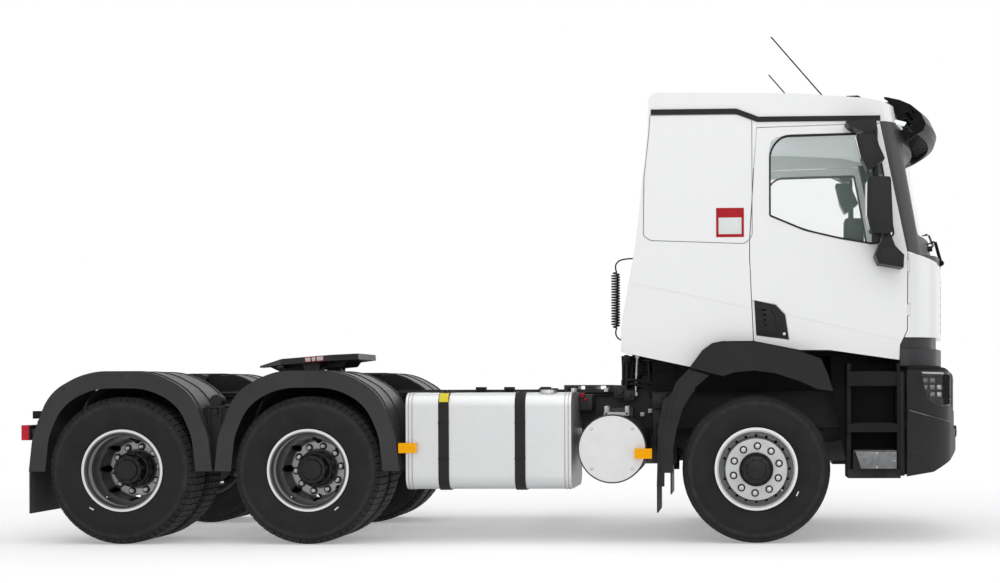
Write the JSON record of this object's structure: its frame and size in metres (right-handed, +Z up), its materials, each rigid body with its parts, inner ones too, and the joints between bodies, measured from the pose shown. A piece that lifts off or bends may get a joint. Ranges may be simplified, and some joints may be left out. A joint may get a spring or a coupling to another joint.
{
  "type": "semi truck tractor unit",
  "caption": "Six-by-four semi truck tractor unit with a forward-control sleeper cab, twin-tyred bogie, fifth wheel coupling, side fuel tank, tilting cab and opening doors.",
  "frame": {"origin": "on the ground, under the middle of the overall box", "axes": "+X forward along the frame, +Y to the vehicle's left, +Z up"},
  "size_m": [6.99, 2.84, 3.7573],
  "materials": {
    "white_paint": "gloss",
    "chassis_steel": "semi-gloss",
    "cast_grey": "satin",
    "black_plastic": "grained",
    "gloss_black": "gloss",
    "grey_plastic": "satin",
    "rubber": "matt",
    "tyre": "matt",
    "wheel_steel": "satin",
    "aluminium": "brushed",
    "window_glass": "clear",
    "lamp_glass": "clear",
    "amber": "gloss",
    "red": "gloss",
    "interior": "grained",
    "fabric": "woven"
  },
  "bodies": {
    "chassis": {"frame_rails": "chassis_steel", "frame_crossmembers": "chassis_steel", "engine_gearbox": "cast_grey", "front_axle": "chassis_steel", "drive_axles": "chassis_steel", "leaf_springs": "chassis_steel", "fifth_wheel_mount": "chassis_steel", "fuel_tank": "aluminium", "tank_straps": "rubber", "exhaust_silencer": "wheel_steel", "air_tanks": "chassis_steel", "battery_box": "black_plastic", "rear_mudguards": "black_plastic", "front_mudguards": "black_plastic", "rear_lamps": "red", "side_markers": "amber", "front_bumper": "black_plastic", "headlamps": "lamp_glass", "cab_steps": "black_plastic", "cab_mounts": "chassis_steel"},
    "cab": {"cab_floor": "black_plastic", "cab_back": "white_paint", "cab_side_left": "white_paint", "cab_side_right": "white_paint", "cab_roof": "white_paint", "cab_front": "white_paint", "front_grille": "grey_plastic", "windscreen": "window_glass", "dashboard": "interior", "steering_wheel": "black_plastic", "seats": "fabric", "bunk_mattress": "fabric", "sun_visor": "gloss_black", "arch_flares": "black_plastic", "roof_gutters": "rubber", "roof_aerials": "chassis_steel", "air_line_coil": "rubber", "air_line_leads": "rubber"},
    "fifth_wheel": {"fifth_wheel_plate": "chassis_steel"},
    "track_rod": {"tie_rod": "chassis_steel"},
    "door_left": {"door_left": "white_paint", "door_window_left": "window_glass", "mirrors_left": "black_plastic"},
    "knuckle_left": {"knuckle_left": "cast_grey"},
    "front_wheel_left": {"front_rim_left": "wheel_steel", "front_tyre_left": "tyre"},
    "drive_1_wheels_left": {"drive_1_rims_left": "wheel_steel", "drive_1_tyres_left": "tyre"},
    "drive_2_wheels_left": {"drive_2_rims_left": "wheel_steel", "drive_2_tyres_left": "tyre"},
    "door_right": {"door_right": "white_paint", "door_window_right": "window_glass", "mirrors_right": "black_plastic"},
    "knuckle_right": {"knuckle_right": "cast_grey"},
    "front_wheel_right": {"front_rim_right": "wheel_steel", "front_tyre_right": "tyre"},
    "drive_1_wheels_right": {"drive_1_rims_right": "wheel_steel", "drive_1_tyres_right": "tyre"},
    "drive_2_wheels_right": {"drive_2_rims_right": "wheel_steel", "drive_2_tyres_right": "tyre"}
  },
  "joints": [
    {"name": "cab_tilt", "type": "hinge", "parent": "chassis", "child": "cab", "pos_m": [3.245, 0, 1], "axis": [0, 1, 0], "range_deg": [0, 60]},
    {"name": "fifth_wheel_pitch", "type": "hinge", "parent": "chassis", "child": "fifth_wheel", "pos_m": [-1.505, 0, 1.27], "axis": [0, 1, 0], "range_deg": [-10.5, 19.5]},
    {"name": "door_left_swing", "type": "hinge", "parent": "cab", "child": "door_left", "pos_m": [3.042, 1.145, 2], "axis": [0, 0, -1], "range_deg": [0, 75]},
    {"name": "steer_left", "type": "hinge", "parent": "chassis", "child": "knuckle_left", "pos_m": [1.945, 0.85, 0.538], "axis": [0, 0, 1], "range_deg": [-38, 38]},
    {"name": "front_wheel_left_spin", "type": "hinge", "parent": "knuckle_left", "child": "front_wheel_left", "pos_m": [1.945, 1.011, 0.538], "axis": [0, 1, 0], "continuous": true},
    {"name": "drive_1_wheels_left_spin", "type": "hinge", "parent": "chassis", "child": "drive_1_wheels_left", "pos_m": [-1.305, 0.915, 0.538], "axis": [0, 1, 0], "continuous": true},
    {"name": "drive_2_wheels_left_spin", "type": "hinge", "parent": "chassis", "child": "drive_2_wheels_left", "pos_m": [-2.675, 0.915, 0.538], "axis": [0, 1, 0], "continuous": true},
    {"name": "door_right_swing", "type": "hinge", "parent": "cab", "child": "door_right", "pos_m": [3.042, -1.145, 2], "axis": [0, 0, 1], "range_deg": [0, 75]},
    {"name": "steer_right", "type": "hinge", "parent": "chassis", "child": "knuckle_right", "pos_m": [1.945, -0.85, 0.538], "axis": [0, 0, 1], "range_deg": [-38, 38]},
    {"name": "front_wheel_right_spin", "type": "hinge", "parent": "knuckle_right", "child": "front_wheel_right", "pos_m": [1.945, -1.011, 0.538], "axis": [0, 1, 0], "continuous": true},
    {"name": "drive_1_wheels_right_spin", "type": "hinge", "parent": "chassis", "child": "drive_1_wheels_right", "pos_m": [-1.305, -0.915, 0.538], "axis": [0, 1, 0], "continuous": true},
    {"name": "drive_2_wheels_right_spin", "type": "hinge", "parent": "chassis", "child": "drive_2_wheels_right", "pos_m": [-2.675, -0.915, 0.538], "axis": [0, 1, 0], "continuous": true},
    {"name": "track_rod_swing", "type": "hinge", "parent": "knuckle_left", "child": "track_rod", "pos_m": [1.715, 0.85, 0.384], "axis": [0, 0, 1], "range_deg": [-38, 38]}
  ],
  "couplings": [
    {"joint": "steer_right", "follows": "steer_left", "ratio": 1},
    {"joint": "track_rod_swing", "follows": "steer_left", "ratio": -1}
  ]
}
